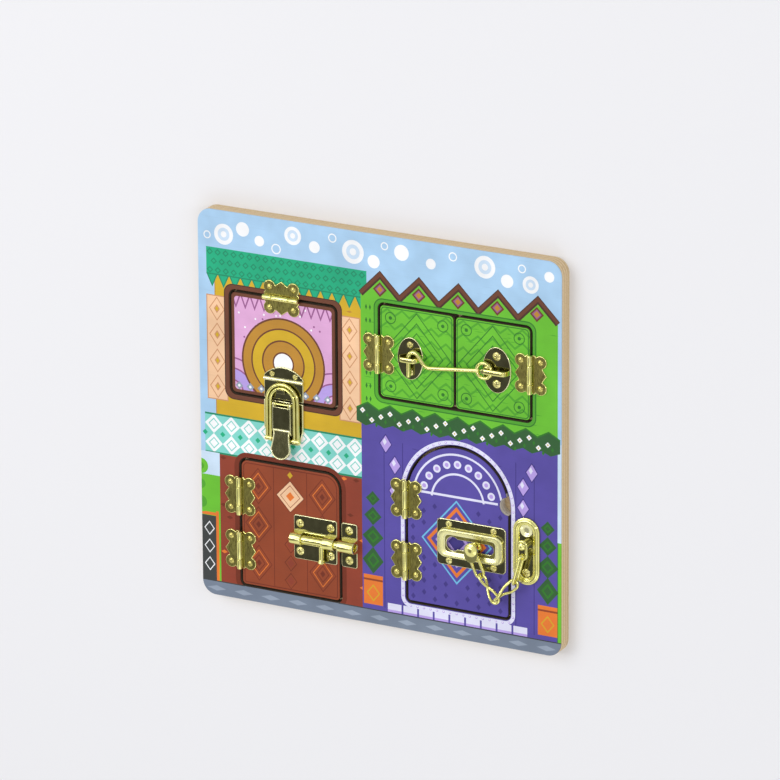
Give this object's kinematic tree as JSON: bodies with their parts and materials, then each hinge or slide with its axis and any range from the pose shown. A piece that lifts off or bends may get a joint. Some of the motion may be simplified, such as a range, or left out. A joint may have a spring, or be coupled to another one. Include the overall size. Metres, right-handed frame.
{
  "type": "wooden busy board",
  "caption": "Square wooden busy board with hinged doors and a flap, closed by a toggle latch, a cabin hook, a barrel bolt and a door chain.",
  "frame": {"origin": "centre of the board's back face", "axes": "+Z out of the printed front face, +Y towards the board's top edge, +X to the right seen from the front"},
  "size_m": [0.3, 0.3, 0.0236],
  "materials": {
    "plywood": "sanded pale plywood",
    "printed_frame": "plywood with a matt colour print on its face",
    "yellow_print": "plywood with a matt yellow print",
    "green_print": "plywood with a matt green print",
    "red_print": "plywood with a matt brick-red print",
    "violet_print": "plywood with a matt violet print",
    "hinge_brass": "brass-plated sheet steel, satin",
    "screw_brass": "brass-plated, bright",
    "polished_brass_plate": "brass-plated sheet steel, mirror polished",
    "bright_brass": "brass-plated, bright polished"
  },
  "bodies": {
    "frame": {"back_board": "plywood", "front_panel": "printed_frame", "window_hinge_frame_leaf": "hinge_brass", "window_hinge_pin": "bright_brass", "garage_left_hinge_frame_leaf": "hinge_brass", "garage_left_hinge_pin": "bright_brass", "garage_right_hinge_frame_leaf": "hinge_brass", "garage_right_hinge_pin": "bright_brass", "red_door_hinge_frame_leaves": "hinge_brass", "red_door_hinge_pins": "bright_brass", "arched_door_hinge_frame_leaves": "hinge_brass", "arched_door_hinge_pins": "bright_brass", "frame_hinge_screws": "screw_brass", "toggle_base": "polished_brass_plate", "toggle_base_screws": "screw_brass", "toggle_lever_pin": "bright_brass", "bolt_keep": "polished_brass_plate", "bolt_keep_screws": "screw_brass", "chain_anchor_plate": "bright_brass", "chain_anchor_stud": "bright_brass", "chain_anchor_loop": "bright_brass", "chain_anchor_screw": "screw_brass"},
    "window_flap": {"window_flap": "yellow_print", "window_hinge_door_leaf": "hinge_brass", "window_hinge_screws": "screw_brass", "toggle_catch_plate": "polished_brass_plate", "toggle_catch_screws": "screw_brass"},
    "garage_door_left": {"garage_door_left": "green_print", "garage_left_hinge_door_leaf": "hinge_brass", "garage_left_hinge_screws": "screw_brass", "hook_keep_plate": "polished_brass_plate", "hook_keep_screws": "screw_brass"},
    "garage_door_right": {"garage_door_right": "green_print", "garage_right_hinge_door_leaf": "hinge_brass", "garage_right_hinge_screws": "screw_brass", "hook_eye_plate": "polished_brass_plate", "hook_eye_screws": "screw_brass"},
    "red_door": {"red_door": "red_print", "red_door_hinge_door_leaves": "hinge_brass", "red_door_hinge_screws": "screw_brass", "bolt_plate": "polished_brass_plate", "bolt_plate_screws": "screw_brass"},
    "arched_door": {"arched_door": "violet_print", "arched_door_hinge_door_leaves": "hinge_brass", "arched_door_hinge_screws": "screw_brass", "chain_slide_plate": "polished_brass_plate", "chain_slide_screws": "screw_brass"},
    "toggle_lever": {"toggle_lever": "polished_brass_plate"},
    "toggle_bail": {"toggle_bail": "bright_brass"},
    "cabin_hook": {"cabin_hook": "bright_brass"},
    "door_bolt": {"bolt_rod": "bright_brass", "bolt_knob": "bright_brass"},
    "chain_button": {"chain_button": "bright_brass"},
    "chain_link_1": {"chain_link_1": "bright_brass"},
    "chain_link_2": {"chain_link_2": "bright_brass"},
    "chain_link_3": {"chain_link_3": "bright_brass"},
    "chain_link_4": {"chain_link_4": "bright_brass"}
  },
  "joints": [
    {"name": "window_hinge", "type": "hinge", "parent": "frame", "child": "window_flap", "pos_m": [-0.0796, 0.09, 0.01435], "axis": [-1, 0, 0], "range_deg": [0, 150]},
    {"name": "garage_left_hinge", "type": "hinge", "parent": "frame", "child": "garage_door_left", "pos_m": [0.001, 0.06, 0.01435], "axis": [0, -1, 0], "range_deg": [0, 150]},
    {"name": "garage_right_hinge", "type": "hinge", "parent": "frame", "child": "garage_door_right", "pos_m": [0.1254, 0.063, 0.01435], "axis": [0, 1, 0], "range_deg": [0, 150]},
    {"name": "red_door_hinge", "type": "hinge", "parent": "frame", "child": "red_door", "pos_m": [-0.1166, -0.0885, 0.01435], "axis": [0, -1, 0], "range_deg": [0, 150]},
    {"name": "arched_door_hinge", "type": "hinge", "parent": "frame", "child": "arched_door", "pos_m": [0.023, -0.0719, 0.01435], "axis": [0, -1, 0], "range_deg": [0, 150]},
    {"name": "toggle_lever_pivot", "type": "hinge", "parent": "frame", "child": "toggle_lever", "pos_m": [-0.0784, 0.0093, 0.0154], "axis": [-1, 0, 0], "range_deg": [0, 140]},
    {"name": "toggle_bail_pivot", "type": "hinge", "parent": "toggle_lever", "child": "toggle_bail", "pos_m": [-0.0784, -0.0178, 0.0152], "axis": [1, 0, 0], "range_deg": [0, 125]},
    {"name": "cabin_hook_pivot", "type": "hinge", "parent": "garage_door_right", "child": "cabin_hook", "pos_m": [0.0892, 0.0612, 0.01605], "axis": [0, 0, -1], "range_deg": [0, 90]},
    {"name": "bolt_slide", "type": "slide", "parent": "red_door", "child": "door_bolt", "axis": [-1, 0, 0], "range_m": [0, 0.0136]},
    {"name": "chain_button_slide", "type": "slide", "parent": "arched_door", "child": "chain_button", "axis": [1, 0, 0], "range_m": [-0.0184, 0.011]},
    {"name": "chain_joint_1", "type": "hinge", "parent": "chain_button", "child": "chain_link_1", "pos_m": [0.0811, -0.0797, 0.0192], "axis": [0, 0, 1], "range_deg": [-14, 22]},
    {"name": "chain_joint_2", "type": "hinge", "parent": "chain_link_1", "child": "chain_link_2", "pos_m": [0.08757, -0.09357, 0.0192], "axis": [0, 0, 1], "range_deg": [-9, 6]},
    {"name": "chain_joint_3", "type": "hinge", "parent": "chain_link_2", "child": "chain_link_3", "pos_m": [0.09998, -0.1113, 0.0192], "axis": [0, 0, 1], "range_deg": [-24, 15]},
    {"name": "chain_joint_4", "type": "hinge", "parent": "chain_link_3", "child": "chain_link_4", "pos_m": [0.11564, -0.09635, 0.0192], "axis": [0, 0, 1], "range_deg": [-11, 7]}
  ],
  "couplings": [
    {"joint": "toggle_bail_pivot", "follows": "toggle_lever_pivot", "ratio": 0.87},
    {"joint": "garage_left_hinge", "follows": "garage_right_hinge", "ratio": 1},
    {"joint": "chain_joint_1", "follows": "chain_button_slide", "rad_per_m": -19.199},
    {"joint": "chain_joint_2", "follows": "chain_button_slide", "rad_per_m": 7.3304},
    {"joint": "chain_joint_3", "follows": "chain_button_slide", "rad_per_m": 21.119},
    {"joint": "chain_joint_4", "follows": "chain_button_slide", "rad_per_m": 9.4248}
  ]
}
